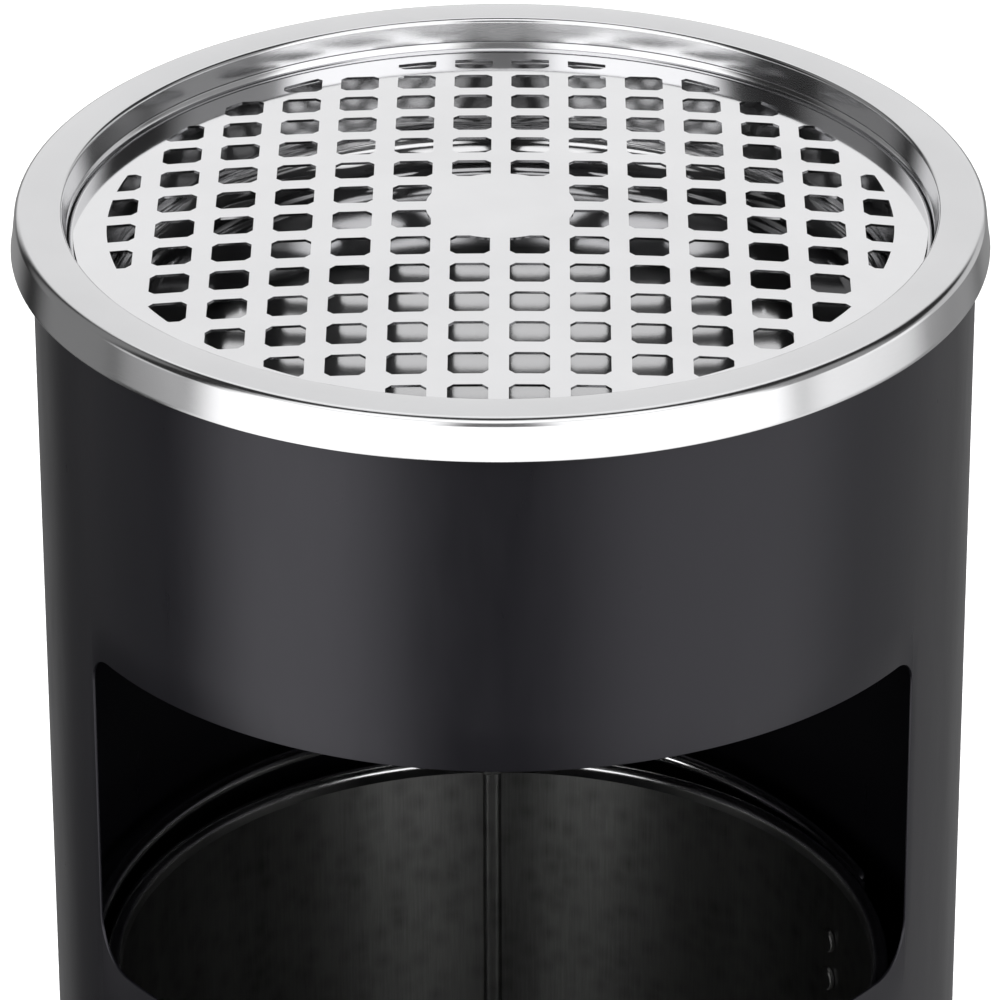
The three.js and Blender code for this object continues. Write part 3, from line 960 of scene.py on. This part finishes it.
def make_bail():
    mesh = wire_mesh("carrying_wire", bail_line(), BAIL_WIRE)
    mesh.transform(Matrix.Rotation(BAIL_TILT, 4, "X"))
    piece = place_on_bucket(add_object("carrying_wire", mesh))
    piece.location.z = BAIL_PIVOT
    return dress(piece, ZINC_WIRE, "bail", "zinc_wire", "bail_handle")


def dress_rim_wire():
    """The wire inside the rolled rim keeps its CAD mesh: only its ends would ever be seen."""
    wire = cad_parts["bucket_rim_wire"]
    wire.data.materials.clear()
    wire.data.materials.append(ZINC_WIRE)


# ---- stage ---------------------------------------------------------------------------------

def make_floor():
    size = 6.0
    steps = 12
    verts = [(-size + 2 * size * i / steps, -size + 2 * size * j / steps, 0)
             for j in range(steps + 1) for i in range(steps + 1)]
    faces = [(j * (steps + 1) + i, j * (steps + 1) + i + 1, (j + 1) * (steps + 1) + i + 1,
              (j + 1) * (steps + 1) + i) for j in range(steps) for i in range(steps)]
    floor = add_object("floor", mesh_from("floor", verts, faces))
    floor.data.materials.append(floor_paint())
    floor.visible_glossy = False


def make_camera():
    data = bpy.data.cameras.new("camera")
    data.lens = CAMERA_LENS
    data.sensor_width = 36
    data.clip_start, data.clip_end = 0.05, 50
    camera = bpy.data.objects.new("camera", data)
    bpy.context.scene.collection.objects.link(camera)
    level = math.cos(CAMERA_ELEVATION)
    back = Vector((math.sin(CAMERA_AZIMUTH) * level, -math.cos(CAMERA_AZIMUTH) * level,
                   math.sin(CAMERA_ELEVATION)))
    camera.location = CAMERA_AIM + back * CAMERA_DISTANCE
    camera.rotation_mode = "QUATERNION"
    facing = (-back).to_track_quat("-Z", "Y")
    camera.rotation_quaternion = facing @ Quaternion((0, 0, 1), CAMERA_ROLL)
    bpy.context.scene.camera = camera


# Panels of the light tent round the bin, as seen from it, in degrees: the middle's azimuth from the
# front (positive to the right) and its elevation, the half width and half height, the two soft
# margins, and the brightness.
TENT_BASE = 0.03
TENT_PANELS = (
    (180, 32, 36, 34, 10, 8, 0.97),   # white wall behind
    (180, -30, 36, 30, 10, 8, 0.30),  # the dimmer floor before that wall
    (180, 56, 42, 16, 10, 8, 1.20),   # the bright sheet hung over that wall
    (0, 62, 72, 15, 12, 8, 1.60),     # the sheet overhead, towards the front
    (-38, 24, 27, 24, 6, 8, 1.70),    # left softbox, its upper part
    (-50, -30, 24, 20, 13, 6, 1.60),  # and its lower part, swung outwards
    (38, 24, 27, 24, 6, 8, 1.70),     # right softbox, its upper part
    (55, -30, 34, 20, 16, 6, 1.05),   # and its lower part, swung outwards
    (0, 26, 9, 20, 6, 6, 0.19),       # the gap the picture is taken through
    (0, -4, 70, 12, 8, 4, 1.65),      # strip of white table under the softboxes
    (-84, -3, 12, 9, 6, 6, 0.75),     # grey left side
    (-112, 10, 18, 40, 8, 8, 0.25),   # and its dark end towards the back
    (92, -4, 22, 12, 10, 6, 1.25),    # white right side
    (130, 0, 22, 16, 10, 6, 0.68),    # fading towards the back,
    (110, -30, 36, 18, 14, 8, 0.36),  # down to the floor
    (80, 24, 24, 20, 10, 8, 0.35),    # and upwards
)


def sky_angles(tree):
    """Azimuth from the front and elevation of the direction that is looked at, in degrees."""
    def math_node(operation, first, second=None):
        node = tree.nodes.new("ShaderNodeMath")
        node.operation = operation
        for socket, value in zip(node.inputs, (first, second)):
            if hasattr(value, "is_output"):
                tree.links.new(value, socket)
            elif value is not None:
                socket.default_value = value
        return node.outputs[0]

    split = tree.nodes.new("ShaderNodeSeparateXYZ")
    coords = tree.nodes.new("ShaderNodeTexCoord")
    tree.links.new(coords.outputs["Generated"], split.inputs[0])
    x, y, z = split.outputs
    azimuth = math_node("ARCTAN2", x, math_node("MULTIPLY", y, -1.0))
    elevation = math_node("ARCSINE", z)
    return (math_node("MULTIPLY", azimuth, 180 / math.pi),
            math_node("MULTIPLY", elevation, 180 / math.pi), math_node)


def soft_step(tree, distance, half, soft):
    """1 inside a panel's half width, 0 outside, with a soft margin."""
    edge = tree.nodes.new("ShaderNodeMapRange")
    edge.interpolation_type = "SMOOTHSTEP"
    tree.links.new(distance, edge.inputs["Value"])
    edge.inputs["From Min"].default_value = half - soft
    edge.inputs["From Max"].default_value = half + soft
    edge.inputs["To Min"].default_value = 1
    edge.inputs["To Max"].default_value = 0
    return edge.outputs["Result"]


def make_world():
    world = bpy.data.worlds.new("light_tent")
    bpy.context.scene.world = world
    world.use_nodes = True
    tree = world.node_tree
    tree.nodes.clear()
    azimuth, elevation, math_node = sky_angles(tree)
    total = TENT_BASE
    for middle, height, half_wide, half_high, soft_wide, soft_high, strength in TENT_PANELS:
        turned = math_node("ADD", azimuth, 540.0 - middle)
        wrapped = math_node("MODULO", turned, 360.0)
        off_middle = math_node("ABSOLUTE", math_node("SUBTRACT", wrapped, 180.0))
        off_height = math_node("ABSOLUTE", math_node("SUBTRACT", elevation, float(height)))
        across = soft_step(tree, off_middle, half_wide, soft_wide)
        upright = soft_step(tree, off_height, half_high, soft_high)
        lit = math_node("MULTIPLY", math_node("MULTIPLY", across, upright), strength)
        total = math_node("MAXIMUM", lit, total)
    out = tree.nodes.new("ShaderNodeOutputWorld")
    tent = tree.nodes.new("ShaderNodeBackground")
    tree.links.new(total, tent.inputs["Color"])
    plain = tree.nodes.new("ShaderNodeBackground")
    plain.inputs["Color"].default_value = (1, 1, 1, 1)
    mix = tree.nodes.new("ShaderNodeMixShader")
    tree.links.new(tree.nodes.new("ShaderNodeLightPath").outputs["Is Camera Ray"], mix.inputs[0])
    tree.links.new(tent.outputs[0], mix.inputs[1])
    tree.links.new(plain.outputs[0], mix.inputs[2])
    tree.links.new(mix.outputs[0], out.inputs["Surface"])


def add_light(name, location, target, size, power):
    data = bpy.data.lights.new(name, "AREA")
    data.shape = "SQUARE"
    data.size = size
    data.energy = power
    light = bpy.data.objects.new(name, data)
    light.location = location
    light.rotation_mode = "QUATERNION"
    light.rotation_quaternion = (Vector(target) - Vector(location)).to_track_quat("-Z", "Y")
    light.visible_glossy = False
    bpy.context.scene.collection.objects.link(light)


def make_lights():
    middle = (0, 0, 0.4)
    add_light("top_light", (0, 1.2, 2.6), (0, 0.5, 0), 1.8, 66)
    add_light("left_light", (-2.0, -1.2, 1.6), middle, 1.2, 18)
    add_light("right_light", (2.0, -0.8, 1.4), middle, 1.2, 18)


# ---- the bin -------------------------------------------------------------------------------

make_camera()
make_floor()
make_world()
make_lights()
make_shell()
make_seam()
make_base_ring()
make_base_plate()
make_tray()
make_grid()
make_bucket_wall()
make_bucket_seam()
make_bucket_floor()
for side_name, side_turn in (("right", 0.0), ("left", math.pi)):
    make_ear(side_name, side_turn)
    for rivet_number, rivet_height in enumerate(RIVET_HEIGHTS, 1):
        make_rivet(side_name, side_turn, rivet_height, rivet_number)
make_bail()
dress_rim_wire()

bpy.context.scene.view_settings.view_transform = "Standard"
